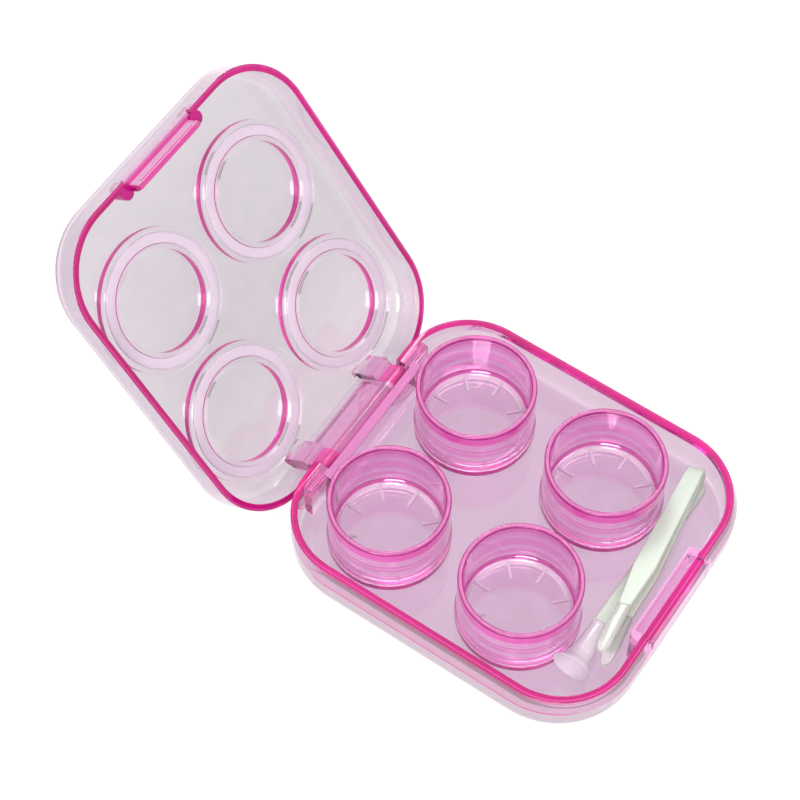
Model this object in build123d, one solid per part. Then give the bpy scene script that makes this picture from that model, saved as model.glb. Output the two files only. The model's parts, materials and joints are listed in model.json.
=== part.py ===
from build123d import *
import math
import os

# Flip-top contact lens case: a tray with four lift-out lens pots, a hinged lid with four
# silicone seals, a pair of tweezers and a suction stick. Millimetres. The tray stands on
# z = 0 with its centre at the origin; +X runs along the hinge and -Y points to the latch.

# Shell outline, shared by the tray's rim and the lid.
RIM_HALF_WIDTH = 29.85
RIM_HALF_DEPTH = 33.75
CORNER_RADIUS = 13.8
WALL = 1.3
RIM_FILLET = 0.2

# Tray.
RIM_Z = 9.9
FLOOR_Z = 1.4
SHOULDER_Z = 7.05
SHOULDER_OUT_SIDE = 1.25
SHOULDER_OUT_FRONT = 1.05
SHOULDER_CORNER_RADIUS = 15.4
BASE_FILLET = 4.0
TRAY_INNER_FILLET = 0.8

# Lid, in its closed place.
RIM_GAP = 0.05
LID_RIM_Z = RIM_Z + RIM_GAP
LID_TOP_Z = 17.2
PANEL_Z = 16.1
LID_OUTER_FILLET = 2.8
LID_INNER_FILLET = 1.6
OPEN_ANGLE = 126.3

# Hinge.
AXIS_Y = RIM_HALF_DEPTH - WALL
AXIS_Z = 7.3
PIN_RADIUS = 0.6
PIN_RUNNING_CLEARANCE = 0.05
PIN_INNER_X = 9.4
PIN_OUTER_X = 17.9
PIN_BORE_INNER_X = 9.2
PIN_CHAMFER = 0.15
BARREL_RADIUS = 1.3
NOTCH_HALF_WIDTH = 12.9
NOTCH_FLOOR_Z = 3.6
NOTCH_BACK_Y = AXIS_Y - 1.7
RECESS_WALL_Y = AXIS_Y - 3.4
RECESS_WALL_HALF_WIDTH = 14.4
EAR_FRONT_Y = AXIS_Y - 1.9
EAR_HALF_WIDTH = 18.6
ROLL_RADIUS = RIM_Z - AXIS_Z
ROLL_HALF_WIDTH = 24.0
KNUCKLE_INNER_X = 8.6
KNUCKLE_OUTER_X = 12.8
KNUCKLE_FRONT_Y = AXIS_Y - 2.5
KNUCKLE_BOSS_OUTER_X = 13.3
TONGUE_FRONT_Y = AXIS_Y - 1.1
TONGUE_BACK_Y = AXIS_Y + 0.6
TONGUE_RECESS_TOP_Z = 14.0

# Latch.
LATCH_HALF_WIDTH = 9.2
LATCH_PLATE_TOP_Z = 9.4
POCKET_HALF_WIDTH = 10.6
POCKET_FACE_Y = -RIM_HALF_DEPTH + 3.4
POCKET_END_RADIUS = 1.2
SLOT_HALF_WIDTH = 9.0
SLOT_REAR_Y = -RIM_HALF_DEPTH + 2.9
SLOT_FRONT_Y = -RIM_HALF_DEPTH + 1.5
SLOT_FLOOR_Z = 6.4
TONGUE_HALF_WIDTH = 8.7
LATCH_BAR_REAR_Y = -RIM_HALF_DEPTH + 2.7
LATCH_BAR_FRONT_Y = -RIM_HALF_DEPTH + 1.6
LATCH_BAR_END_Z = 7.6
LATCH_BAR_TOP_Z = 12.6
LATCH_BAR_FILLET = 0.3
LATCH_BAR_END_RADIUS = 1.1
LATCH_LOBE_X = 9.5
LATCH_LOBE_Y = -RIM_HALF_DEPTH + 2.15
LATCH_LOBE_RADIUS = 1.3
RIDGE_Z = 8.2
RIDGE_RADIUS = 0.22
RIDGE_HALF_WIDTH = 7.0
GROOVE_RADIUS = 0.3
GROOVE_HALF_WIDTH = 7.3
FINGER_GAP = 0.5

# Lens pots.
POT_SPACING_X = 27.88
POT_SPACING_Y = 27.52
POT_CENTRE_Y = 3.2
POT_RADIUS = 11.0
POT_INNER_RADIUS = 10.0
POT_HEIGHT = 13.1
POT_FLOOR = 1.2
POT_INNER_FILLET = 1.4
POT_RIM_FILLET = 0.3
POT_STAND_GAP = 0.05
POT_FOOT_RADIUS = 11.3
POT_FOOT_HEIGHT = 1.5
RIB_COUNT = 8
RIB_LENGTH = 3.4
RIB_WIDTH = 0.5
RIB_HEIGHT = 0.35
RIB_OUTER_RADIUS = 9.4

# Ring seats and seals in the lid.
SEAT_OUTER_RADIUS = 12.85
SEAT_GROOVE_OUTER_RADIUS = 11.9
SEAT_GROOVE_INNER_RADIUS = 9.9
SEAT_INNER_RADIUS = 9.05
SEAT_OUTER_HEIGHT = 1.2
SEAT_INNER_HEIGHT = 1.5
SEAL_THICKNESS = 1.5
SEAL_CLEARANCE = 0.02
SEAL_FILLET = 0.3

# Tweezers, in their own frame: u from tail to tips, v across, w up.
TWEEZERS_LENGTH = 43.6
TWEEZERS_TAIL = (26.3, -23.3, 3.85)
TWEEZERS_TURN = 8.2
TWEEZERS_RISE = 3.75
TWEEZERS_ROLL = 15.0
ARM_TAIL_WIDTH = 3.3
ARM_WIDTH = 4.1
ARM_WAIST_WIDTH = 2.1
ARM_CORE_WIDTH = 1.3
ARM_THICKNESS = 1.15
ARM_WIDE_U = 24.0
ARM_WAIST_U = 33.0
ARM_CORE_END_U = 40.5
ARM_FILLET = 0.3
ARM_GAP = 0.04
SPREAD_ANGLE = 4.0
SLEEVE_START_U = 33.2
SLEEVE_WIDTH = 2.6
SLEEVE_THICKNESS = 1.75
SLEEVE_FILLET = 0.5

# Suction stick, in its own frame: u from tail to cup, v across, w up.
STICK_TAIL = (26.0, -24.4, 2.45)
STICK_CUP = (-19.2, -24.7, 5.25)
HANDLE_WIDTH = 3.2
HANDLE_THICKNESS = 1.8
HANDLE_FILLET = 0.6
HANDLE_LENGTH = 35.6
SPIGOT_RADIUS = 0.8
SPIGOT_LENGTH = 5.0
CUP_SLEEVE_RADIUS = 1.75
CUP_NECK_RADIUS = 2.15
CUP_LIP_RADIUS = 3.8
CUP_LIP_THICKNESS = 0.35
CUP_FLARE_LENGTH = 3.0
CUP_HOLLOW_DEPTH = 2.4

# How far a cut or a joined piece runs past its face, and a length beyond the whole case.
OVERLAP = 1.0
FAR = 60.0

PARTS_DIR = "parts"


def block(x_range, y_range, z_range):
    """A box given by its limits along each axis."""
    low, high = zip(x_range, y_range, z_range)
    size = [b - a for a, b in zip(low, high)]
    return Pos(*low) * Box(*size, align=(Align.MIN, Align.MIN, Align.MIN))


def both_sides(shape):
    """A shape and its mirror image on the other side of the X = 0 plane."""
    return shape + mirror(shape, about=Plane.YZ)


def outline(half_width, front_y, rear_y, radius, z):
    """A rounded rectangle at a height, from the latch side to the hinge side."""
    depth = rear_y - front_y
    return Pos(0, front_y + depth / 2, z) * RectangleRounded(2 * half_width, depth, radius)


def hinge_cylinder(radius, x_low, x_high):
    """A cylinder about the hinge axis, between two places along X."""
    length = x_high - x_low
    return Pos(x_low + length / 2, AXIS_Y, AXIS_Z) * Rot(0, 90, 0) * Cylinder(radius, length)


def pot_centres():
    """The four pots by name, with their centres."""
    rear = POT_CENTRE_Y + POT_SPACING_Y / 2
    front = POT_CENTRE_Y - POT_SPACING_Y / 2
    side = POT_SPACING_X / 2
    return {
        "rear_left": (-side, rear),
        "rear_right": (side, rear),
        "front_left": (-side, front),
        "front_right": (side, front),
    }


def make_tray():
    """The base shell: rim, shoulder, hinge ears, recessed hinge wall and latch pocket."""
    wide = RIM_HALF_WIDTH + SHOULDER_OUT_SIDE
    front = -RIM_HALF_DEPTH - SHOULDER_OUT_FRONT
    foot = outline(wide, front, RIM_HALF_DEPTH, SHOULDER_CORNER_RADIUS, 0)
    lower = extrude(foot, SHOULDER_Z)
    lower = fillet(lower.edges().group_by(Axis.Z)[0], BASE_FILLET)
    shoulder = outline(wide, front, RIM_HALF_DEPTH, SHOULDER_CORNER_RADIUS, SHOULDER_Z)
    rim = outline(RIM_HALF_WIDTH, -RIM_HALF_DEPTH, RIM_HALF_DEPTH, CORNER_RADIUS, RIM_Z)
    upper = loft([shoulder, rim])
    shell = lower + upper - tray_cavity()
    shell = fillet(shell.faces().sort_by(Axis.Z)[-1].edges(), RIM_FILLET)
    latch_plate = block(
        (-LATCH_HALF_WIDTH, LATCH_HALF_WIDTH),
        (front, SLOT_FRONT_Y),
        (SHOULDER_Z - OVERLAP, LATCH_PLATE_TOP_Z),
    )
    return shell + latch_plate - tray_cuts()


def tray_cavity():
    """The hollow of the tray, around the hinge ears and the latch pocket."""
    inner_depth = RIM_HALF_DEPTH - WALL
    opening = outline(RIM_HALF_WIDTH - WALL, -inner_depth, inner_depth, CORNER_RADIUS - WALL, FLOOR_Z)
    hollow = extrude(opening, FAR)
    hollow = fillet(hollow.edges().group_by(Axis.Z)[0], TRAY_INNER_FILLET)
    recess_wall = block(
        (-RECESS_WALL_HALF_WIDTH, RECESS_WALL_HALF_WIDTH), (RECESS_WALL_Y, FAR), (0, FAR)
    )
    ears = block((-EAR_HALF_WIDTH, EAR_HALF_WIDTH), (EAR_FRONT_Y, FAR), (0, FAR))
    pocket = block((-POCKET_HALF_WIDTH, POCKET_HALF_WIDTH), (-FAR, POCKET_FACE_Y), (0, FAR))
    ends = pocket.edges().filter_by(Axis.Z).group_by(Axis.Y)[-1]
    return hollow - recess_wall - ears - fillet(ends, POCKET_END_RADIUS)


def tray_cuts():
    """The hinge notch, the rolled edge around the hinge axis, the pin holes and the latch slot."""
    notch = block((-NOTCH_HALF_WIDTH, NOTCH_HALF_WIDTH), (NOTCH_BACK_Y, FAR), (NOTCH_FLOOR_Z, FAR))
    edge = block((-ROLL_HALF_WIDTH, ROLL_HALF_WIDTH), (AXIS_Y, FAR), (AXIS_Z, FAR))
    rolled_edge = edge - hinge_cylinder(ROLL_RADIUS, -FAR, FAR)
    holes = both_sides(hinge_cylinder(PIN_RADIUS, NOTCH_HALF_WIDTH - OVERLAP, EAR_HALF_WIDTH))
    slot = block((-SLOT_HALF_WIDTH, SLOT_HALF_WIDTH), (SLOT_FRONT_Y, SLOT_REAR_Y), (SLOT_FLOOR_Z, FAR))
    groove = latch_bead(GROOVE_RADIUS, GROOVE_HALF_WIDTH, SLOT_FRONT_Y)
    window = block((-LATCH_HALF_WIDTH, LATCH_HALF_WIDTH), (-FAR, SLOT_FRONT_Y), (LATCH_PLATE_TOP_Z, FAR))
    return notch + rolled_edge + holes + slot + groove + window


def latch_bead(radius, half_width, y):
    """A rod along X at the height where the latch snaps in."""
    return Pos(0, y, RIDGE_Z) * Rot(0, 90, 0) * Cylinder(radius, 2 * half_width)


def make_closed_lid():
    """The lid shell in its closed place, with its hinge tongue, latch bar and ring seats."""
    body = outline(RIM_HALF_WIDTH, -RIM_HALF_DEPTH, RIM_HALF_DEPTH, CORNER_RADIUS, LID_RIM_Z)
    shell = extrude(body, LID_TOP_Z - LID_RIM_Z)
    shell = fillet(shell.edges().group_by(Axis.Z)[-1], LID_OUTER_FILLET)
    shell = shell - lid_cavity()
    shell = fillet(shell.faces().sort_by(Axis.Z)[0].edges(), RIM_FILLET)
    tongue_recess = block(
        (-KNUCKLE_INNER_X, KNUCKLE_INNER_X), (TONGUE_BACK_Y, FAR), (0, TONGUE_RECESS_TOP_Z)
    )
    finger_gap = block(
        (-LATCH_HALF_WIDTH, LATCH_HALF_WIDTH), (-FAR, LATCH_BAR_FRONT_Y), (0, LID_RIM_Z + FINGER_GAP)
    )
    lid = shell - tongue_recess - finger_gap + lid_hinge() + lid_latch()
    for x, y in pot_centres().values():
        lid += Pos(x, y) * ring_seat()
    bore = hinge_cylinder(PIN_RADIUS + PIN_RUNNING_CLEARANCE, PIN_BORE_INNER_X, KNUCKLE_OUTER_X + OVERLAP)
    return lid - both_sides(bore)


def lid_cavity():
    """The hollow of the lid, around the thicker hinge section."""
    inner_depth = RIM_HALF_DEPTH - WALL
    opening = outline(RIM_HALF_WIDTH - WALL, -inner_depth, inner_depth, CORNER_RADIUS - WALL, 0)
    hollow = extrude(opening, PANEL_Z)
    hollow = fillet(hollow.edges().group_by(Axis.Z)[-1], LID_INNER_FILLET)
    knuckle = block((KNUCKLE_INNER_X, KNUCKLE_BOSS_OUTER_X), (KNUCKLE_FRONT_Y, FAR), (0, FAR))
    tongue = block((-KNUCKLE_OUTER_X, KNUCKLE_OUTER_X), (TONGUE_FRONT_Y, FAR), (0, FAR))
    return hollow - both_sides(knuckle) - tongue


def lid_hinge():
    """The tongue below the lid's rim: a web, two knuckles and the barrel they share."""
    barrel = hinge_cylinder(BARREL_RADIUS, -KNUCKLE_OUTER_X, KNUCKLE_OUTER_X)
    web = block(
        (-KNUCKLE_OUTER_X, KNUCKLE_OUTER_X), (TONGUE_FRONT_Y, TONGUE_BACK_Y), (AXIS_Z, LID_RIM_Z)
    )
    knuckle = block(
        (KNUCKLE_INNER_X, KNUCKLE_OUTER_X),
        (AXIS_Y - BARREL_RADIUS, AXIS_Y + BARREL_RADIUS),
        (AXIS_Z, LID_RIM_Z),
    )
    return barrel + web + both_sides(knuckle)


def lid_latch():
    """The latch bar, a stop lobe on the wall at each end of it, and a snap ridge on its outer face."""
    bar = block(
        (-TONGUE_HALF_WIDTH, TONGUE_HALF_WIDTH),
        (LATCH_BAR_FRONT_Y, LATCH_BAR_REAR_Y),
        (LATCH_BAR_END_Z, LATCH_BAR_TOP_Z),
    )
    ends = bar.edges().filter_by(Axis.Y).group_by(Axis.Z)[0]
    bar = fillet(ends, LATCH_BAR_END_RADIUS)
    bar = fillet(bar.edges().filter_by(Axis.X).group_by(Axis.Z)[0], LATCH_BAR_FILLET)
    root = block(
        (-TONGUE_HALF_WIDTH, TONGUE_HALF_WIDTH),
        (-RIM_HALF_DEPTH + WALL / 2, LATCH_BAR_REAR_Y),
        (LID_RIM_Z + FINGER_GAP, LATCH_BAR_TOP_Z),
    )
    lobe_height = LATCH_BAR_TOP_Z - LID_RIM_Z
    lobe = Pos(LATCH_LOBE_X, LATCH_LOBE_Y, LID_RIM_Z + lobe_height / 2)
    lobes = both_sides(lobe * Cylinder(LATCH_LOBE_RADIUS, lobe_height))
    ridge = latch_bead(RIDGE_RADIUS, RIDGE_HALF_WIDTH, LATCH_BAR_FRONT_Y)
    return bar + root + lobes + ridge


def ring_seat():
    """Two collars under the lid's panel that hold one seal between them."""
    overlap = (LID_TOP_Z - PANEL_Z) / 2
    outer = ring(SEAT_GROOVE_OUTER_RADIUS, SEAT_OUTER_RADIUS, PANEL_Z - SEAT_OUTER_HEIGHT, PANEL_Z + overlap)
    inner = ring(SEAT_INNER_RADIUS, SEAT_GROOVE_INNER_RADIUS, PANEL_Z - SEAT_INNER_HEIGHT, PANEL_Z + overlap)
    return outer + inner


def ring(inner_radius, outer_radius, low_z, high_z):
    """A ring about the Z axis between two heights."""
    face = Circle(outer_radius) - Circle(inner_radius)
    return extrude(Pos(0, 0, low_z) * face, high_z - low_z)


def opened(shape):
    """Turn a lid piece from its closed place to the open rest place."""
    return shape.rotate(Axis((0, AXIS_Y, AXIS_Z), (1, 0, 0)), -OPEN_ANGLE)


def make_seal(x, y):
    """A flat silicone ring in its lid seat, facing one pot."""
    seal = ring(
        SEAT_GROOVE_INNER_RADIUS + SEAL_CLEARANCE,
        SEAT_GROOVE_OUTER_RADIUS - SEAL_CLEARANCE,
        PANEL_Z - SEAL_THICKNESS,
        PANEL_Z - SEAL_CLEARANCE,
    )
    seal = fillet(seal.edges().group_by(Axis.Z)[0], SEAL_FILLET)
    return opened(Pos(x, y) * seal)


def make_pot(x, y):
    """A lens pot: a cup with a foot, a filleted floor and short radial ribs around its edge."""
    cup = Cylinder(POT_RADIUS, POT_HEIGHT, align=(Align.CENTER, Align.CENTER, Align.MIN))
    foot = Cylinder(POT_FOOT_RADIUS, POT_FOOT_HEIGHT, align=(Align.CENTER, Align.CENTER, Align.MIN))
    foot = fillet(foot.edges().group_by(Axis.Z)[-1], (POT_FOOT_RADIUS - POT_RADIUS) / 2)
    bore = Cylinder(POT_INNER_RADIUS, FAR, align=(Align.CENTER, Align.CENTER, Align.MIN))
    bore = fillet(bore.edges().group_by(Axis.Z)[0], POT_INNER_FILLET)
    pot = cup + foot - Pos(0, 0, POT_FLOOR) * bore
    pot = fillet(pot.edges().group_by(Axis.Z)[-1], POT_RIM_FILLET)
    rib = block(
        (RIB_OUTER_RADIUS - RIB_LENGTH, RIB_OUTER_RADIUS),
        (-RIB_WIDTH / 2, RIB_WIDTH / 2),
        (POT_FLOOR / 2, POT_FLOOR + RIB_HEIGHT),
    )
    for turn in range(RIB_COUNT):
        pot += Rot(0, 0, turn * 360 / RIB_COUNT) * rib
    return Pos(x, y, FLOOR_Z + POT_STAND_GAP) * pot


def make_hinge_pin(side):
    """A short steel pin, pressed into one ear of the tray and running in the lid's barrel."""
    pin = hinge_cylinder(PIN_RADIUS, PIN_INNER_X, PIN_OUTER_X)
    pin = chamfer(pin.edges(), PIN_CHAMFER)
    return pin if side > 0 else mirror(pin, about=Plane.YZ)


def tweezers_place():
    """Where the tweezers lie, tipped by the stick below them: u runs from the tail to the tips."""
    along = Pos(*TWEEZERS_TAIL) * Rot(0, 0, 180 + TWEEZERS_TURN) * Rot(0, -TWEEZERS_RISE, 0)
    return along * Rot(TWEEZERS_ROLL, 0, 0)


def arm_plate():
    """One arm lying flat: a tapering bar whose narrow end is the core of the tip sleeve."""
    half = [
        (0, ARM_TAIL_WIDTH / 2),
        (ARM_WIDE_U, ARM_WIDTH / 2),
        (ARM_WAIST_U, ARM_WAIST_WIDTH / 2),
        (ARM_WAIST_U, ARM_CORE_WIDTH / 2),
        (ARM_CORE_END_U, ARM_CORE_WIDTH / 2),
    ]
    mirrored = [(u, -v) for u, v in reversed(half)]
    plate = extrude(make_face(Polyline(*half, *mirrored, close=True)), ARM_THICKNESS)
    top_and_bottom = plate.faces().filter_by(Axis.Z).edges()
    return fillet(top_and_bottom.filter_by(lambda e: e.length > ARM_WIDE_U / 3), ARM_FILLET)


def tip_sleeve():
    """A rounded silicone sleeve over the core of one arm."""
    length = TWEEZERS_LENGTH - SLEEVE_START_U
    straight = Rectangle(length - SLEEVE_WIDTH / 2, SLEEVE_WIDTH, align=(Align.MIN, Align.CENTER))
    nose = Pos(TWEEZERS_LENGTH - SLEEVE_WIDTH / 2, 0) * Circle(SLEEVE_WIDTH / 2)
    sleeve = extrude(Pos(SLEEVE_START_U, 0) * straight + nose, SLEEVE_THICKNESS)
    sleeve = fillet(sleeve.faces().filter_by(Axis.Z).edges(), SLEEVE_FILLET)
    sleeve = Pos(0, 0, (ARM_THICKNESS - SLEEVE_THICKNESS) / 2) * sleeve
    core = block(
        (SLEEVE_START_U - OVERLAP, ARM_CORE_END_U),
        (-ARM_CORE_WIDTH / 2, ARM_CORE_WIDTH / 2),
        (0, ARM_THICKNESS),
    )
    return sleeve - core


def upper_arm_place():
    """The upper arm stands on the lower arm's tail and spreads away from it."""
    return tweezers_place() * Pos(0, 0, ARM_THICKNESS + ARM_GAP) * Rot(0, -SPREAD_ANGLE, 0)


def stick_place():
    """Where the suction stick lies: u from its tail to its cup."""
    run = Vector(*STICK_CUP) - Vector(*STICK_TAIL)
    turn = math.degrees(math.atan2(run.Y, run.X))
    rise = math.degrees(math.asin(run.Z / run.length))
    return Pos(*STICK_TAIL) * Rot(0, 0, turn) * Rot(0, -rise, 0)


def stick_length():
    """From the tail of the stick to the lip of its cup."""
    return (Vector(*STICK_CUP) - Vector(*STICK_TAIL)).length


def make_stick_handle():
    """The stick's handle: a rounded bar with a spigot for the silicone cup."""
    tail = Pos(HANDLE_WIDTH / 2, 0) * Circle(HANDLE_WIDTH / 2)
    bar = Pos(HANDLE_WIDTH / 2, 0) * Rectangle(
        HANDLE_LENGTH - HANDLE_WIDTH / 2, HANDLE_WIDTH, align=(Align.MIN, Align.CENTER)
    )
    handle = extrude(Pos(0, 0, -HANDLE_THICKNESS / 2) * (tail + bar), HANDLE_THICKNESS)
    handle = fillet(handle.faces().filter_by(Axis.Z).edges(), HANDLE_FILLET)
    spigot = Pos(HANDLE_LENGTH, 0, 0) * Rot(0, 90, 0) * Cylinder(
        SPIGOT_RADIUS, SPIGOT_LENGTH, align=(Align.CENTER, Align.CENTER, Align.MIN)
    )
    return stick_place() * (handle + spigot)


def make_suction_cup():
    """The silicone sleeve of the stick with its flared suction cup."""
    lip = stick_length()
    neck = lip - CUP_FLARE_LENGTH
    profile = Polyline(
        (HANDLE_LENGTH, SPIGOT_RADIUS),
        (HANDLE_LENGTH, CUP_SLEEVE_RADIUS),
        (neck, CUP_NECK_RADIUS),
        (lip, CUP_LIP_RADIUS),
        (lip, CUP_LIP_RADIUS - CUP_LIP_THICKNESS),
        (lip - CUP_HOLLOW_DEPTH, SPIGOT_RADIUS / 2),
        (lip - CUP_HOLLOW_DEPTH, 0),
        (HANDLE_LENGTH + SPIGOT_LENGTH, 0),
        (HANDLE_LENGTH + SPIGOT_LENGTH, SPIGOT_RADIUS),
        close=True,
    )
    return stick_place() * revolve(make_face(profile), Axis.X)


def main():
    """Build every piece of the case and write one file for each."""
    pieces = {
        "tray": make_tray(),
        "lid": opened(make_closed_lid()),
        "hinge_pin_left": make_hinge_pin(-1),
        "hinge_pin_right": make_hinge_pin(1),
        "tweezers_lower_arm": tweezers_place() * arm_plate(),
        "tweezers_upper_arm": upper_arm_place() * arm_plate(),
        "tip_sleeve_lower": tweezers_place() * tip_sleeve(),
        "tip_sleeve_upper": upper_arm_place() * tip_sleeve(),
        "suction_stick_handle": make_stick_handle(),
        "suction_cup": make_suction_cup(),
    }
    for name, (x, y) in pot_centres().items():
        pieces["lens_pot_" + name] = make_pot(x, y)
        pieces["lid_seal_" + name] = make_seal(x, y)
    os.makedirs(PARTS_DIR, exist_ok=True)
    for name, piece in pieces.items():
        export_step(piece, os.path.join(PARTS_DIR, name + ".step"))


main()
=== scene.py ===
import json
import math

import bpy
from mathutils import Matrix, Vector


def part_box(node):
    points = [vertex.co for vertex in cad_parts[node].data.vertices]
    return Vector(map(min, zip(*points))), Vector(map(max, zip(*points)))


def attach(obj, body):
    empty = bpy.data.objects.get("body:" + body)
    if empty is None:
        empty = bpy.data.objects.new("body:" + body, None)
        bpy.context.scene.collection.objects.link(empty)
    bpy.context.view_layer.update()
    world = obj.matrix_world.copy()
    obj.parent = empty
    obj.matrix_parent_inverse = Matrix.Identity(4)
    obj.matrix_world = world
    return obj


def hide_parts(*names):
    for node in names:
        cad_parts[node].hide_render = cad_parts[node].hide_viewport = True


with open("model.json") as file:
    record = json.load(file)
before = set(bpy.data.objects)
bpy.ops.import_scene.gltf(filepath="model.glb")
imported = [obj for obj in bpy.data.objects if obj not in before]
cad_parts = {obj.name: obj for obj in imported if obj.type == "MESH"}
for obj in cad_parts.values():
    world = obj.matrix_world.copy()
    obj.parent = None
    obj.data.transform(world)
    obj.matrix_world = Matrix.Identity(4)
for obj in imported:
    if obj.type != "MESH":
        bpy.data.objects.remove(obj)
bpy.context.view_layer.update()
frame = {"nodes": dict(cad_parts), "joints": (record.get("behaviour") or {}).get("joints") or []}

MM = 0.001


def colour(red, green, blue):
    return (red, green, blue, 1.0)


def span(start, end):
    """Where a region starts to fade in and where it is complete, given in millimetres."""
    return start * MM, end * MM


# Camera, at the reference viewing angle.
AZIMUTH = math.radians(-55.7)
ELEVATION = math.radians(59.6)
DISTANCE = 410.4 * MM
TARGET = Vector((7.92, 29.55, 6.0)) * MM
LENS = 100.37
SENSOR = 36.0
NEAREST = 0.01
FARTHEST = 10

# Stage: a white floor that glows a little, a sky and two soft boxes, in metres and watts.
WHITE = colour(1, 1, 1)
FLOOR_GAP = 0.05 * MM
FLOOR_RADIUS = 2.0
FLOOR_GREY = colour(0.30, 0.30, 0.30)
FLOOR_GLOW = 0.72
SKY_HEIGHTS = (-0.05, 0.75)
SKY_STRENGTHS = (0.7, 1.0)
SOFTBOX_AIM = (0, 0.03, 0)
SOFTBOXES = [
    ("softbox_left", (-0.7, -0.3, 0.9), 0.45, 7),
    ("softbox_right", (0.6, 0.5, 0.8), 0.4, 5),
]

# The lid's hinge, from the frame.
HINGE = next(j for j in frame["joints"] if j["name"] == "lid_hinge")
HINGE_PLACE = Vector(HINGE["pos_m"])
HINGE_SWING = math.radians(HINGE["range_deg"][1])

# Outline of the rim: how far its straight sides reach, and its corner radius.
RIM_CORNER = 13.8 * MM
RIM_STRAIGHT_X = 29.85 * MM - RIM_CORNER
RIM_STRAIGHT_Y = 33.75 * MM - RIM_CORNER

# Places of the pots and of the seals above them.
POT_X = 13.94 * MM
POT_Y = 13.76 * MM
POT_MIDDLE_Y = 3.2 * MM
POT_FLOOR_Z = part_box("lens_pot_rear_left")[0].z + 1.2 * MM

# Tray: where its regions of colour fade in. Those named FACING are parts of a normal.
SHELL_SKIN = span(-0.75, -0.55)
FLOOR_FACING = (0.5, 0.9)
TRAY_FLOOR_TOP = span(2.2, 1.6)
UPPER_SHELL_BOTTOM = span(6.8, 7.1)
SHOULDER_BOTTOM = span(6.75, 6.85)
SHOULDER_TOP = span(7.25, 7.15)
SHOULDER_REACH = span(0.9, 1.0)
POCKET_WIDTH = span(11.0, 10.8)
POCKET_FRONT = span(-30.0, -30.25)
POCKET_BOTTOM = span(1.8, 2.4)
TRAY_TOP = span(9.2, 9.35)
TOP_FACING = (0.2, 0.5)
HINGE_WIDTH = span(19.0, 18.7)
HINGE_FRONT = span(28.4, 28.9)
EAR_RADIUS = span(3.2, 3.0)
EAR_INNER = span(12.9, 13.1)
EAR_OUTER = span(18.9, 18.7)

# The rims of the tray and the lid, measured outwards from their common outline.
RIM_INNER = span(-1.5, -1.25)
RIM_OUTER = span(0.4, 0.25)
# The painted highlight line along the middle of the rim lies between these.
RIM_HIGHLIGHT_INNER = span(-0.50, -0.42)
RIM_HIGHLIGHT_OUTER = span(-0.22, -0.30)

# Lid, in its closed place.
LID_SIDE_FACING = (0.6, 0.3)
SEAT_BOTTOM = span(14.0, 14.4)
SEAT_RADIUS = span(13.2, 13.0)
LID_RIM_TOP = span(10.6, 10.52)
LID_RIM_FACING = (0.25, 0.6)
LATCH_WIDTH = span(8.9, 8.6)
LATCH_REAR = span(-30.7, -30.9)
LOBE_INNER = span(7.9, 8.3)
LOBE_OUTER = span(11.0, 10.9)
LOBE_REAR = span(-29.9, -30.1)
LOBE_TOP = span(12.8, 11.8)
LOBE_SKIN = span(-0.9, -1.1)
BAR_TOP = span(12.9, 12.7)
BAR_SKIN = span(-0.6, -1.0)
BAR_EDGE_FACING = (0.3, 0.6)
TONGUE_FRONT = span(26.0, 27.0)
TONGUE_TOP = span(14.0, 13.5)
TONGUE_WIDTH = span(13.6, 13.3)
KNUCKLE_RADIUS = span(2.7, 2.4)
KNUCKLE_INNER = span(8.5, 8.7)
# Along Y, the lid panel's painted shade gives way to painted light towards the hinge.
PANEL_LIGHT_FADE = span(6, 30)

# Pots.
POT_SIDE_FACING = (0.7, 0.4)
WALL_RADIUS = span(9.2, 9.7)
OUTER_RADIUS = span(10.4, 10.6)
NECK_BOTTOM = span(11.4, 12.6)
RIB_RADIUS = span(9.5, 9.3)
RIB_BOTTOM = [POT_FLOOR_Z + height for height in span(0.03, 0.06)]
POT_TOP = span(14.2, 14.35)
BEAD_BOTTOM = span(14.0, 14.15)
BEAD_MIDDLE = 10.5 * MM
BEAD_REACH = span(0.2, 0.3)
FOOT_TOP = span(3.0, 2.75)
FOOT_RADIUS = span(10.9, 11.05)
# Where the painted highlight ring on the pot's floor lies.
FLOOR_HIGHLIGHT_INNER = span(8.5, 8.8)
FLOOR_HIGHLIGHT_OUTER = span(9.7, 9.4)
FLOOR_HIGHLIGHT_BOTTOM = span(2.2, 2.4)
# Where the painted shade line in the pot's floor corner lies.
CORNER_SHADE_INNER = span(9.6, 9.75)
CORNER_SHADE_OUTER = span(10.3, 10.1)
CORNER_SHADE_TOP = span(4.2, 3.7)
STREAK_SCALE = 800.0
STREAKS = (0.38, 0.62)

# Clear plastic. A loss is the part of red, green and blue taken in each millimetre.
PLASTIC_IOR = 1.55
TRAY_LOSS = (0.002, 0.045, 0.012)
LID_LOSS = (0.002, 0.035, 0.010)
POT_LOSS = (0.002, 0.07, 0.018)
WAVE_SCALE = 260.0
SPECK_SCALE = 900.0
DYE_SCALE = 45.0

# Milky plastic, silicone and steel.
MILKY_FLOW_SCALE = 140.0
MILKY_GRAIN_SCALE = 3500.0
CLOUD_SCALE = 120.0
STEEL_GRAIN_SCALE = 5000.0
STEEL_DARK = colour(0.62, 0.62, 0.64)
STEEL_LIGHT = colour(0.75, 0.75, 0.77)

# Most of a noise's values lie between these.
NOISE_MIDDLE = (0.3, 0.7)

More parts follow.
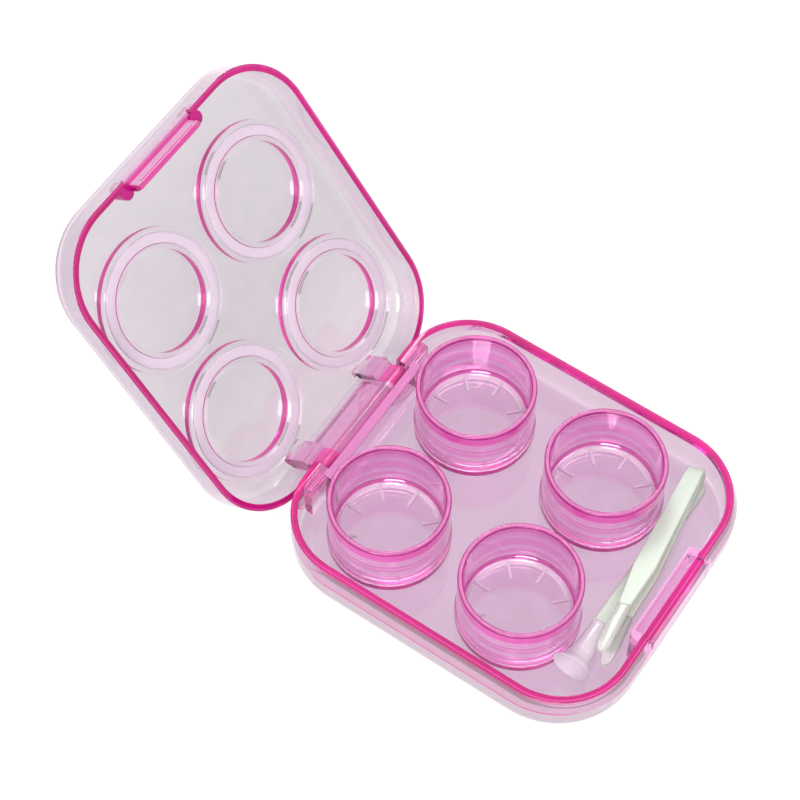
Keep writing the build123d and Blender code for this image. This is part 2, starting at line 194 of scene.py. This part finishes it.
# Tints.
MAGENTA = colour(0.56, 0.0, 0.19)
MAGENTA_DEEP = colour(0.44, 0.0, 0.13)
# A paler magenta, painted as a highlight line along the rims; the tray's shoulder line is drawn in
# it too.
RIM_HIGHLIGHT_AND_SHOULDER_LINE = colour(0.68, 0.06, 0.33)
TRAY_FLOOR = colour(0.80, 0.63, 0.77)
TRAY_WALL = colour(0.95, 0.84, 0.92)
TRAY_OUTSIDE = colour(0.57, 0.53, 0.55)
TRAY_SHOULDER = colour(0.58, 0.38, 0.49)
TRAY_POCKET = colour(1.0, 0.55, 0.85)
TRAY_EAR = colour(0.95, 0.45, 0.72)
TRAY_HINGE = colour(0.90, 0.30, 0.64)
# The lid panel: a faint pink darkened to grey with painted shade, and paler towards the hinge with
# painted light and reflection.
LID_PANEL_PAINTED_SHADE = colour(0.66, 0.63, 0.66)
LID_PANEL_PAINTED_LIGHT = colour(0.80, 0.75, 0.79)
LID_OUTSIDE = colour(0.68, 0.58, 0.66)
LID_SEAT = colour(0.95, 0.10, 0.50)
LID_HINGE = colour(0.74, 0.36, 0.60)
# Painted light: the magenta glow that the dye gathers at the hinge knuckles.
LID_KNUCKLE_GLOW = colour(0.85, 0.08, 0.40)
LID_BAR = colour(0.85, 0.52, 0.72)
LID_BAR_EDGE = colour(0.80, 0.08, 0.38)
POT_FLOOR = colour(0.98, 0.96, 0.98)
POT_WALL = colour(0.94, 0.74, 0.90)
POT_STREAK = colour(0.96, 0.30, 0.72)
POT_NECK = colour(0.84, 0.10, 0.50)
# A painted highlight ring round the edge of the pot's floor.
POT_FLOOR_HIGHLIGHT = colour(0.98, 0.90, 0.97)
POT_RIM = colour(1.0, 0.45, 0.80)
POT_BEAD = colour(0.42, 0.02, 0.22)
# The ribs' own pink, lightened as a painted highlight along them.
POT_RIB_HIGHLIGHT = colour(0.80, 0.66, 0.77)
# Painted shade: a thin dark magenta line in the corner where the pot's floor meets its wall.
POT_CORNER_SHADE = colour(0.70, 0.10, 0.42)
POT_FOOT = colour(0.50, 0.02, 0.25)
MILKY_LIGHT = colour(0.76, 0.86, 0.74)
MILKY_DARK = colour(0.70, 0.80, 0.68)
SEAL_TINT = colour(0.93, 0.80, 0.93)
CUP_TINT = colour(0.98, 0.90, 0.98)
TIP_TINT = colour(0.97, 0.98, 0.94)

# Hinge pins, in millimetres: (along, radius) of one groove, and their row.
PIN_RADIUS = 0.58
PIN_END_RADIUS = 0.40
PIN_END_GAP = 0.01
PIN_CHAMFER = 0.15
PIN_GROOVE = [(0.0, PIN_RADIUS), (0.08, 0.53), (0.2, 0.53), (0.28, PIN_RADIUS)]
PIN_GROOVE_COUNT = 9
PIN_GROOVE_PITCH = 0.36
PIN_GROOVED_LENGTH = 3.6
PIN_SIDES = 32

# Tweezers, in millimetres and degrees. A sleeve's sections are (along, half width,
# half thickness), and its corners are squarer the smaller SLEEVE_ROUNDNESS is.
TWEEZERS_TAIL = (26.3, -23.3, 3.85)
TWEEZERS_TURN = 8.2
TWEEZERS_RISE = 3.75
TWEEZERS_ROLL = 15.0
ARM_THICKNESS = 1.15
ARM_GAP = 0.04
SPREAD_ANGLE = 4.0
SLEEVE_SECTIONS = [
    (33.22, 0.95, 0.62), (33.26, 1.24, 0.82), (33.6, 1.28, 0.86), (33.9, 1.22, 0.82),
    (35.0, 1.24, 0.84), (37.0, 1.28, 0.84), (39.0, 1.28, 0.80), (40.8, 1.24, 0.70),
    (41.8, 1.16, 0.62), (42.5, 1.02, 0.55), (43.0, 0.84, 0.48), (43.3, 0.64, 0.40),
    (43.48, 0.42, 0.30), (43.56, 0.20, 0.16),
]
SLEEVE_ROUNDNESS = 0.7
SLEEVE_SIDES = 40

# Suction stick, in millimetres: (along, radius) from the handle's end, and back from the lip.
STICK_TAIL = (26.0, -24.4, 2.45)
STICK_CUP = (-19.2, -24.7, 5.25)
HANDLE_LENGTH = 35.6
CUP_SOCKET = [(0.02, 0.9), (0.02, 1.70), (0.45, 1.75), (0.6, 1.66)]
CUP_BELL = [
    (4.2, 2.02), (3.0, 2.13), (1.6, 2.7), (0.45, 3.45), (0.02, 3.78),
    (0.02, 3.48), (0.6, 3.05), (1.4, 2.2), (2.1, 1.2), (2.4, 0.3),
]
CUP_ROUNDING = 0.25
CUP_SIDES = 64
ARC_STEPS = 5


class Graph:
    """A short way to write a node tree: each call adds a node and returns its output."""

    def __init__(self, name):
        self.material = bpy.data.materials.new(name)
        self.material.use_nodes = True
        self.tree = self.material.node_tree
        self.tree.nodes.clear()
        self.output = self.tree.nodes.new("ShaderNodeOutputMaterial")

    def node(self, kind, settings=None, **inputs):
        made = self.tree.nodes.new("ShaderNode" + kind)
        for key, value in (settings or {}).items():
            setattr(made, key, value)
        for key, value in inputs.items():
            self.put(made.inputs[key.replace("_", " ")], value)
        return made

    def put(self, socket, value):
        if isinstance(value, bpy.types.NodeSocket):
            self.tree.links.new(value, socket)
        else:
            socket.default_value = value

    def math(self, operation, a, b=0.0):
        made = self.tree.nodes.new("ShaderNodeMath")
        made.operation = operation
        self.put(made.inputs[0], a)
        self.put(made.inputs[1], b)
        return made.outputs[0]

    def level(self, value, start, end, before=0.0, after=1.0):
        """Goes smoothly from before to after while value goes from start to end."""
        made = self.tree.nodes.new("ShaderNodeMapRange")
        made.interpolation_type = "SMOOTHSTEP"
        self.put(made.inputs["Value"], value)
        if start > end:
            start, end, before, after = end, start, after, before
        made.inputs["From Min"].default_value = start
        made.inputs["From Max"].default_value = end
        made.inputs["To Min"].default_value = before
        made.inputs["To Max"].default_value = after
        return made.outputs["Result"]

    def scaled(self, tint, amount):
        made = self.tree.nodes.new("ShaderNodeVectorMath")
        made.operation = "SCALE"
        self.put(made.inputs[0], tint if isinstance(tint, bpy.types.NodeSocket) else tint[:3])
        self.put(made.inputs["Scale"], amount)
        return made.outputs[0]

    def mix(self, factor, a, b):
        """Blends two colours. Inputs 6 and 7 and output 2 are the node's colour sockets."""
        made = self.tree.nodes.new("ShaderNodeMix")
        made.data_type = "RGBA"
        self.put(made.inputs["Factor"], factor)
        self.put(made.inputs[6], a)
        self.put(made.inputs[7], b)
        return made.outputs[2]

    def both(self, first, *others):
        """The product of all these masks."""
        for other in others:
            first = self.math("MULTIPLY", first, other)
        return first

    def length(self, a, b):
        squares = self.math("ADD", self.math("POWER", a, 2.0), self.math("POWER", b, 2.0))
        return self.math("SQRT", squares)

    def noise(self, point, scale, detail):
        return self.node("TexNoise", Vector=point, Scale=scale, Detail=detail).outputs["Fac"]

    def layers(self, tint, regions):
        """Lays the tint and milkiness of each (mask, tint, milkiness) over those before it."""
        body = 0.0
        for mask, region_tint, region_body in regions:
            tint = self.mix(mask, tint, region_tint)
            rest = self.math("MULTIPLY", body, self.math("SUBTRACT", 1.0, mask))
            body = self.math("ADD", rest, self.math("MULTIPLY", mask, region_body))
        return tint, body

    def place(self, closed_lid=False):
        """The point and the normal in the part's own frame, a lid's turned to its closed place."""
        point = self.node("TexCoord").outputs["Object"]
        to_object = {
            "vector_type": "NORMAL", "convert_from": "WORLD", "convert_to": "OBJECT",
        }
        facing = self.node("NewGeometry").outputs["True Normal"]
        normal = self.node("VectorTransform", to_object, Vector=facing).outputs["Vector"]
        if closed_lid:
            point = self.turned(point, HINGE_PLACE)
            normal = self.turned(normal, Vector())
        split = self.node("SeparateXYZ", Vector=point)
        return split, self.node("SeparateXYZ", Vector=normal), point

    def turned(self, vector, centre):
        made = self.node("VectorRotate", {"rotation_type": "AXIS_ANGLE"}, Vector=vector)
        made.inputs["Center"].default_value = centre
        made.inputs["Axis"].default_value = (1, 0, 0)
        made.inputs["Angle"].default_value = HINGE_SWING
        return made.outputs["Vector"]

    def surface(self, shader):
        self.put(self.output.inputs["Surface"], shader.outputs["BSDF"])
        return self.material


def rounded_rim(g, xyz):
    """How far a point lies outside the shell's outline, seen from above."""
    along_x = g.math("SUBTRACT", g.math("ABSOLUTE", xyz.outputs["X"]), RIM_STRAIGHT_X)
    along_y = g.math("SUBTRACT", g.math("ABSOLUTE", xyz.outputs["Y"]), RIM_STRAIGHT_Y)
    reach = g.length(g.math("MAXIMUM", along_x, 0.0), g.math("MAXIMUM", along_y, 0.0))
    return g.math("SUBTRACT", reach, RIM_CORNER)


def from_pot_axis(g, xyz):
    """How far a point lies from the axis of the nearest pot, and of the seal above it."""
    x = g.math("SUBTRACT", g.math("ABSOLUTE", xyz.outputs["X"]), POT_X)
    from_middle = g.math("SUBTRACT", xyz.outputs["Y"], POT_MIDDLE_Y)
    return g.length(x, g.math("SUBTRACT", g.math("ABSOLUTE", from_middle), POT_Y))


def from_hinge(g, xyz):
    """How far a point lies from the hinge's axis."""
    y = g.math("SUBTRACT", xyz.outputs["Y"], HINGE_PLACE.y)
    return g.length(y, g.math("SUBTRACT", xyz.outputs["Z"], HINGE_PLACE.z))


def painted_rim_highlight(g, outside):
    """A painted highlight: a thin paler line along the middle of the rim."""
    return g.both(g.level(outside, *RIM_HIGHLIGHT_INNER), g.level(outside, *RIM_HIGHLIGHT_OUTER))


def varied_magenta(g, point):
    """The light that the dye gathers in the rim, deeper in some places than in others."""
    return g.mix(g.level(g.noise(point, DYE_SCALE, 3.0), 0.35, 0.65), MAGENTA_DEEP, MAGENTA)


def plastic(g, point, look, loss):
    """Clear dyed plastic. look is its surface's tint, and how milky it is seen from outside."""
    tint, body = look
    waves = g.noise(point, WAVE_SCALE, 2.0)
    tint = g.scaled(tint, g.level(waves, *NOISE_MIDDLE, 0.97, 1.0))
    seen_inside = g.node("NewGeometry").outputs["Backfacing"]
    body = g.both(body, g.math("SUBTRACT", 1.0, seen_inside))
    roughness = g.level(g.noise(point, SPECK_SCALE, 3.0), 0.5, 0.8, 0.0, 0.03)
    bump = g.node("Bump", Height=waves, Strength=0.02, Distance=0.2 * MM)
    shader = g.node(
        "BsdfPrincipled", IOR=PLASTIC_IOR, Base_Color=tint, Roughness=roughness,
        Transmission_Weight=g.math("SUBTRACT", 1.0, body), Normal=bump.outputs["Normal"],
    )
    kept = colour(*(1 - part for part in loss))
    volume = g.node("VolumeAbsorption", Color=kept, Density=1 / MM)
    g.put(g.output.inputs["Volume"], volume.outputs["Volume"])
    return g.surface(shader)


def tray_plastic():
    g = Graph("tray_plastic")
    xyz, n, point = g.place()
    x = g.math("ABSOLUTE", xyz.outputs["X"])
    y, z = xyz.outputs["Y"], xyz.outputs["Z"]
    outside = rounded_rim(g, xyz)
    flat = g.level(g.math("ABSOLUTE", n.outputs["Z"]), *FLOOR_FACING)
    floor = g.both(flat, g.level(z, *TRAY_FLOOR_TOP))
    shell = g.level(outside, *SHELL_SKIN)
    upper_shell = g.both(shell, g.level(z, *UPPER_SHELL_BOTTOM))
    shoulder = g.both(
        g.level(z, *SHOULDER_BOTTOM), g.level(z, *SHOULDER_TOP), g.level(outside, *SHOULDER_REACH)
    )
    pocket = g.both(
        g.level(x, *POCKET_WIDTH), g.level(y, *POCKET_FRONT), g.level(z, *POCKET_BOTTOM)
    )
    top = g.both(g.level(z, *TRAY_TOP), g.level(n.outputs["Z"], *TOP_FACING))
    hinge = g.both(top, g.level(x, *HINGE_WIDTH), g.level(y, *HINGE_FRONT))
    ear = g.both(
        g.level(from_hinge(g, xyz), *EAR_RADIUS), g.level(x, *EAR_INNER), g.level(x, *EAR_OUTER)
    )
    rim = g.both(top, g.level(outside, *RIM_INNER), g.level(outside, *RIM_OUTER))
    look = g.layers(TRAY_WALL, [
        (floor, TRAY_FLOOR, 0.0), (shell, TRAY_OUTSIDE, 0.45),
        # The shoulder's thin line takes the colour of the rims' painted highlight.
        (upper_shell, TRAY_SHOULDER, 0.45), (shoulder, RIM_HIGHLIGHT_AND_SHOULDER_LINE, 0.55),
        (pocket, TRAY_POCKET, 0.25), (ear, TRAY_EAR, 0.3), (hinge, TRAY_HINGE, 0.2),
        # The paler line along the middle of the rim is a painted highlight.
        (rim, varied_magenta(g, point), 0.85), (g.both(rim, painted_rim_highlight(g, outside)), RIM_HIGHLIGHT_AND_SHOULDER_LINE, 0.6),
        (floor, TRAY_FLOOR, 0.0),
    ])
    return plastic(g, point, look, TRAY_LOSS)


def lid_plastic():
    g = Graph("lid_plastic")
    xyz, n, point = g.place(closed_lid=True)
    x = g.math("ABSOLUTE", xyz.outputs["X"])
    y, z = xyz.outputs["Y"], xyz.outputs["Z"]
    down = g.math("MULTIPLY", n.outputs["Z"], -1.0)
    outside = rounded_rim(g, xyz)
    shell = g.level(outside, *SHELL_SKIN)
    side = g.level(g.math("ABSOLUTE", n.outputs["Z"]), *LID_SIDE_FACING)
    seat = g.both(
        side, g.level(z, *SEAT_BOTTOM), g.level(from_pot_axis(g, xyz), *SEAT_RADIUS)
    )
    rim = g.both(
        g.level(z, *LID_RIM_TOP), g.level(down, *LID_RIM_FACING), g.level(outside, *RIM_INNER)
    )
    latch = g.both(g.level(x, *LATCH_WIDTH), g.level(y, *LATCH_REAR))
    lobe = g.both(
        g.level(x, *LOBE_INNER), g.level(x, *LOBE_OUTER), g.level(y, *LOBE_REAR),
        g.level(z, *LOBE_TOP), g.level(outside, *LOBE_SKIN),
    )
    bar = g.both(latch, g.level(z, *BAR_TOP), g.level(outside, *BAR_SKIN))
    bar_edge = g.both(bar, g.level(down, *BAR_EDGE_FACING))
    tongue = g.both(
        g.level(y, *TONGUE_FRONT), g.level(z, *TONGUE_TOP), g.level(x, *TONGUE_WIDTH)
    )
    # The knuckles get a painted magenta glow.
    knuckle = g.both(
        g.level(from_hinge(g, xyz), *KNUCKLE_RADIUS), g.level(x, *KNUCKLE_INNER)
    )
    # Painted shade and light on the panel: grey, and paler towards the hinge.
    panel_light_and_shade = g.mix(g.level(y, *PANEL_LIGHT_FADE), LID_PANEL_PAINTED_SHADE, LID_PANEL_PAINTED_LIGHT)
    look = g.layers(panel_light_and_shade, [
        (shell, LID_OUTSIDE, 0.3), (seat, LID_SEAT, 0.5), (tongue, LID_HINGE, 0.35),
        (knuckle, LID_KNUCKLE_GLOW, 0.45), (rim, varied_magenta(g, point), 0.85),
        # The paler line along the middle of the rim is a painted highlight.
        (g.both(rim, painted_rim_highlight(g, outside)), RIM_HIGHLIGHT_AND_SHOULDER_LINE, 0.6), (g.both(rim, latch), LID_BAR, 0.4),
        (bar, LID_BAR, 0.35), (bar_edge, LID_BAR_EDGE, 0.5), (lobe, MAGENTA, 0.5),
    ])
    return plastic(g, point, look, LID_LOSS)


def pot_plastic():
    g = Graph("pot_plastic")
    xyz, n, point = g.place()
    z = xyz.outputs["Z"]
    side = g.level(g.math("ABSOLUTE", n.outputs["Z"]), *POT_SIDE_FACING)
    radius = from_pot_axis(g, xyz)
    wall = g.both(side, g.level(radius, *WALL_RADIUS))
    outer = g.both(side, g.level(radius, *OUTER_RADIUS))
    streaks = g.node(
        "TexNoise", {"noise_dimensions": "1D"}, W=z, Scale=STREAK_SCALE, Detail=2.0
    ).outputs["Fac"]
    shade = g.mix(g.level(streaks, *STREAKS), POT_WALL, POT_STREAK)
    neck = g.both(outer, g.level(z, *NECK_BOTTOM))
    # The ribs are painted paler and milky as a painted highlight.
    rib = g.both(g.level(radius, *RIB_RADIUS), g.level(z, *RIB_BOTTOM))
    top = g.level(z, *POT_TOP)
    from_bead = g.math("ABSOLUTE", g.math("SUBTRACT", radius, BEAD_MIDDLE))
    bead = g.both(g.level(z, *BEAD_BOTTOM), g.level(from_bead, *BEAD_REACH))
    foot = g.both(g.level(z, *FOOT_TOP), g.level(radius, *FOOT_RADIUS))
    # A painted highlight: a pale ring round the edge of the floor.
    floor_highlight = g.both(
        g.level(radius, *FLOOR_HIGHLIGHT_INNER), g.level(radius, *FLOOR_HIGHLIGHT_OUTER), g.level(z, *FLOOR_HIGHLIGHT_BOTTOM)
    )
    # Painted shade: a dark line in the corner between floor and wall.
    corner_shade = g.both(
        g.level(radius, *CORNER_SHADE_INNER), g.level(radius, *CORNER_SHADE_OUTER), g.level(z, *CORNER_SHADE_TOP)
    )
    look = g.layers(POT_FLOOR, [
        (wall, shade, 0.05), (outer, shade, 0.35), (neck, POT_NECK, 0.7),
        (floor_highlight, POT_FLOOR_HIGHLIGHT, 0.4), (corner_shade, POT_CORNER_SHADE, 0.3), (rib, POT_RIB_HIGHLIGHT, 0.8),
        (top, POT_RIM, 0.25), (bead, POT_BEAD, 0.6), (foot, POT_FOOT, 0.6),
    ])
    return plastic(g, point, look, POT_LOSS)


def milky_plastic():
    """Slightly green-white moulded plastic that lets a little light through."""
    g = Graph("milky_plastic")
    point = g.node("TexCoord").outputs["Object"]
    flow = g.noise(point, MILKY_FLOW_SCALE, 3.0)
    grain = g.noise(point, MILKY_GRAIN_SCALE, 2.0)
    bump = g.node("Bump", Height=grain, Strength=0.08, Distance=0.03 * MM)
    shader = g.node(
        "BsdfPrincipled", Base_Color=g.mix(flow, MILKY_LIGHT, MILKY_DARK), Roughness=0.42,
        IOR=1.45, Transmission_Weight=0.3, Subsurface_Weight=0.6,
        Subsurface_Radius=(1.0, 1.0, 0.8), Subsurface_Scale=1.5 * MM,
        Normal=bump.outputs["Normal"],
    )
    return g.surface(shader)


def silicone(name, tint, milk, roughness):
    """Soft clear rubber with a satin skin and a little dust."""
    g = Graph(name)
    cloud = g.noise(g.node("TexCoord").outputs["Object"], CLOUD_SCALE, 2.0)
    shader = g.node(
        "BsdfPrincipled", IOR=1.41, Transmission_Weight=1 - milk,
        Base_Color=g.scaled(tint, g.level(cloud, *NOISE_MIDDLE, 0.95, 1.0)),
        Roughness=g.level(cloud, *NOISE_MIDDLE, roughness, roughness + 0.03),
    )
    return g.surface(shader)


def polished_steel():
    g = Graph("pin_steel")
    grain = g.noise(g.node("TexCoord").outputs["Object"], STEEL_GRAIN_SCALE, 2.0)
    shader = g.node(
        "BsdfPrincipled", Metallic=1.0, Base_Color=g.mix(grain, STEEL_DARK, STEEL_LIGHT),
        Roughness=g.level(grain, *NOISE_MIDDLE, 0.12, 0.24),
    )
    return g.surface(shader)


pot_look = pot_plastic()
seal_look = silicone("seal_silicone", SEAL_TINT, 0.55, 0.12)
soft_look = silicone("cup_silicone", CUP_TINT, 0.6, 0.12)
tip_look = silicone("tip_silicone", TIP_TINT, 0.3, 0.05)
milky_look = milky_plastic()
steel_look = polished_steel()
LOOKS = {
    "tray": tray_plastic(),
    "lid": lid_plastic(),
    "tweezers_lower_arm": milky_look,
    "tweezers_upper_arm": milky_look,
    "suction_stick_handle": milky_look,
}
for node, piece in frame["nodes"].items():
    if node.startswith("lens_pot"):
        LOOKS[node] = pot_look
    if node.startswith("lid_seal"):
        LOOKS[node] = seal_look
    piece.data.materials.clear()
    if node in LOOKS:
        piece.data.materials.append(LOOKS[node])


def new_piece(name, points, faces, look, body, node):
    """A smooth mesh that stands for a CAD node and moves with its body."""
    mesh = bpy.data.meshes.new(name)
    mesh.from_pydata(points, [], faces)
    mesh.validate()
    mesh.shade_smooth()
    mesh.materials.append(look)
    piece = bpy.data.objects.new(name, mesh)
    bpy.context.scene.collection.objects.link(piece)
    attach(piece, body)
    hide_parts(node)
    return piece


def loft(rings):
    """Points and faces of a skin through rings of equal count, closed with a fan at each end."""
    count = len(rings[0])
    points = [p for ring in rings for p in ring]
    faces = []
    for i in range(len(rings) - 1):
        for j in range(count):
            k = (j + 1) % count
            faces.append((i * count + j, i * count + k, (i + 1) * count + k, (i + 1) * count + j))
    for ring, first in ((rings[0], 0), (rings[-1], (len(rings) - 1) * count)):
        centre = len(points)
        points.append(sum((Vector(p) for p in ring), Vector()) / count)
        for j in range(count):
            k = (j + 1) % count
            edge = (first + k, first + j) if first == 0 else (first + j, first + k)
            faces.append((*edge, centre))
    return points, faces


def turned_rings(place, profile, count):
    """Rings about the local X axis, through (along, radius) pairs in millimetres."""
    return [
        [place @ Vector((u, r * math.cos(a), r * math.sin(a))) * MM
         for a in (2 * math.pi * k / count for k in range(count))]
        for u, r in profile
    ]


def rounded(profile, radius):
    """The profile with each inner corner replaced by a short arc."""
    made = [profile[0]]
    for before, corner_shade, after in zip(profile, profile[1:], profile[2:]):
        a, c, b = Vector(before), Vector(corner_shade), Vector(after)
        start = c + (a - c).normalized() * min(radius, (a - c).length / 2)
        end = c + (b - c).normalized() * min(radius, (b - c).length / 2)
        for k in range(ARC_STEPS + 1):
            t = k / ARC_STEPS
            made.append(tuple(start * (1 - t) ** 2 + c * 2 * t * (1 - t) + end * t ** 2))
    made.append(profile[-1])
    return made


def rotation(axis, degrees):
    return Matrix.Rotation(math.radians(degrees), 4, axis)


def make_pins():
    """Steel pins with a fine-grooved outer end, where they are pressed into the tray."""
    for side, name in ((1, "right"), (-1, "left")):
        low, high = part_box("hinge_pin_" + name)
        centre = (low + high) / 2 / MM
        half = (high.x - low.x) / 2 / MM
        place = Matrix.Translation(centre) @ Matrix.Scale(side, 4, Vector((1, 0, 0)))
        profile = [(-half + PIN_END_GAP, PIN_END_RADIUS), (-half + PIN_CHAMFER, PIN_RADIUS)]
        for k in range(PIN_GROOVE_COUNT):
            start = half - PIN_GROOVED_LENGTH + PIN_GROOVE_PITCH * k
            profile += [(start + along, radius) for along, radius in PIN_GROOVE]
        profile += [(half - PIN_CHAMFER, PIN_RADIUS), (half - PIN_END_GAP, PIN_END_RADIUS)]
        points, faces = loft(turned_rings(place, profile, PIN_SIDES))
        if side < 0:
            faces = [tuple(reversed(f)) for f in faces]
        node = "hinge_pin_" + name
        pin = new_piece("pin_" + name, points, faces, steel_look, "case_tray", node)
        pin.data.shade_flat()


def tweezers_place(upper):
    """Where an arm of the tweezers lies: X runs along it from its tail, Z is its thickness."""
    place = Matrix.Translation(Vector(TWEEZERS_TAIL)) @ rotation("Z", 180 + TWEEZERS_TURN)
    place = place @ rotation("Y", -TWEEZERS_RISE) @ rotation("X", TWEEZERS_ROLL)
    if upper:
        place = place @ Matrix.Translation((0, 0, ARM_THICKNESS + ARM_GAP))
        place = place @ rotation("Y", -SPREAD_ANGLE)
    return place


def make_sleeve(name, upper, body):
    """A soft clear sleeve that narrows to a flat round tip; the arm's core shows inside it."""
    place = tweezers_place(upper)
    rings = []
    for u, half_width, half_thick in SLEEVE_SECTIONS:
        ring = []
        for k in range(SLEEVE_SIDES):
            a = 2 * math.pi * k / SLEEVE_SIDES
            c, s = math.cos(a), math.sin(a)
            y = half_width * math.copysign(abs(c) ** SLEEVE_ROUNDNESS, c)
            z = half_thick * math.copysign(abs(s) ** SLEEVE_ROUNDNESS, s)
            ring.append(place @ Vector((u, y, ARM_THICKNESS / 2 + z)) * MM)
        rings.append(ring)
    points, faces = loft(rings)
    new_piece("sleeve_" + name, points, faces, tip_look, body, "tip_sleeve_" + name)


def make_cup():
    """The stick's soft sleeve, flared to a hollow cup."""
    tail, lip = Vector(STICK_TAIL), Vector(STICK_CUP)
    run = lip - tail
    turn = math.degrees(math.atan2(run.y, run.x))
    rise = math.degrees(math.asin(run.z / run.length))
    place = Matrix.Translation(tail) @ rotation("Z", turn) @ rotation("Y", -rise)
    profile = [(HANDLE_LENGTH + u, radius) for u, radius in CUP_SOCKET]
    profile += [(run.length - u, radius) for u, radius in CUP_BELL]
    points, faces = loft(turned_rings(place, rounded(profile, CUP_ROUNDING), CUP_SIDES))
    new_piece("cup_soft", points, faces, soft_look, "suction_stick", "suction_cup")


make_pins()
make_sleeve("lower", False, "tweezers")
make_sleeve("upper", True, "tweezers_squeeze_arm")
make_cup()


def make_floor():
    g = Graph("floor_white")
    g.surface(g.node(
        "BsdfPrincipled", Roughness=0.7, Base_Color=FLOOR_GREY, Specular_IOR_Level=0.2,
        Emission_Color=WHITE, Emission_Strength=FLOOR_GLOW,
    ))
    r = FLOOR_RADIUS
    mesh = bpy.data.meshes.new("floor")
    mesh.from_pydata([(-r, -r, 0), (r, -r, 0), (r, r, 0), (-r, r, 0)], [], [(0, 1, 2, 3)])
    mesh.materials.append(g.material)
    floor = bpy.data.objects.new("floor", mesh)
    floor.location.z = -FLOOR_GAP
    bpy.context.scene.collection.objects.link(floor)


def area_light(name, place, aim, size, power):
    data = bpy.data.lights.new(name, "AREA")
    data.shape = "SQUARE"
    data.size = size
    data.energy = power
    lamp = bpy.data.objects.new(name, data)
    lamp.location = place
    lamp.rotation_mode = "QUATERNION"
    lamp.rotation_quaternion = (Vector(aim) - Vector(place)).to_track_quat("-Z", "Y")
    bpy.context.scene.collection.objects.link(lamp)


def make_light():
    """Two soft boxes and a sky, brightest overhead; the camera sees it as a plain white."""
    world = bpy.data.worlds.new("studio")
    world.use_nodes = True
    tree = world.node_tree
    coord = tree.nodes.new("ShaderNodeTexCoord")
    split = tree.nodes.new("ShaderNodeSeparateXYZ")
    ramp = tree.nodes.new("ShaderNodeMapRange")
    ramp.interpolation_type = "SMOOTHSTEP"
    ramp.inputs["From Min"].default_value, ramp.inputs["From Max"].default_value = SKY_HEIGHTS
    ramp.inputs["To Min"].default_value, ramp.inputs["To Max"].default_value = SKY_STRENGTHS
    seen = tree.nodes.new("ShaderNodeLightPath")
    brightest = tree.nodes.new("ShaderNodeMath")
    brightest.operation = "MAXIMUM"
    tree.links.new(ramp.outputs["Result"], brightest.inputs[0])
    tree.links.new(seen.outputs["Is Camera Ray"], brightest.inputs[1])
    background = tree.nodes["Background"]
    tree.links.new(coord.outputs["Generated"], split.inputs["Vector"])
    tree.links.new(split.outputs["Z"], ramp.inputs["Value"])
    tree.links.new(brightest.outputs[0], background.inputs["Strength"])
    background.inputs["Color"].default_value = WHITE
    bpy.context.scene.world = world
    for name, place, size, power in SOFTBOXES:
        area_light(name, place, SOFTBOX_AIM, size, power)


def make_camera():
    data = bpy.data.cameras.new("camera")
    data.lens = LENS
    data.sensor_width = SENSOR
    data.clip_start = NEAREST
    data.clip_end = FARTHEST
    camera = bpy.data.objects.new("camera", data)
    back = Vector((
        math.sin(AZIMUTH) * math.cos(ELEVATION),
        -math.cos(AZIMUTH) * math.cos(ELEVATION),
        math.sin(ELEVATION),
    ))
    camera.location = TARGET + back * DISTANCE
    camera.rotation_mode = "QUATERNION"
    camera.rotation_quaternion = (-back).to_track_quat("-Z", "Y")
    bpy.context.scene.collection.objects.link(camera)
    bpy.context.scene.camera = camera


make_floor()
make_light()
make_camera()
scene = bpy.context.scene
scene.view_settings.view_transform = "Standard"
scene.cycles.max_bounces = 32
scene.cycles.transmission_bounces = 32
scene.cycles.glossy_bounces = 16
scene.cycles.diffuse_bounces = 4
scene.cycles.transparent_max_bounces = 16
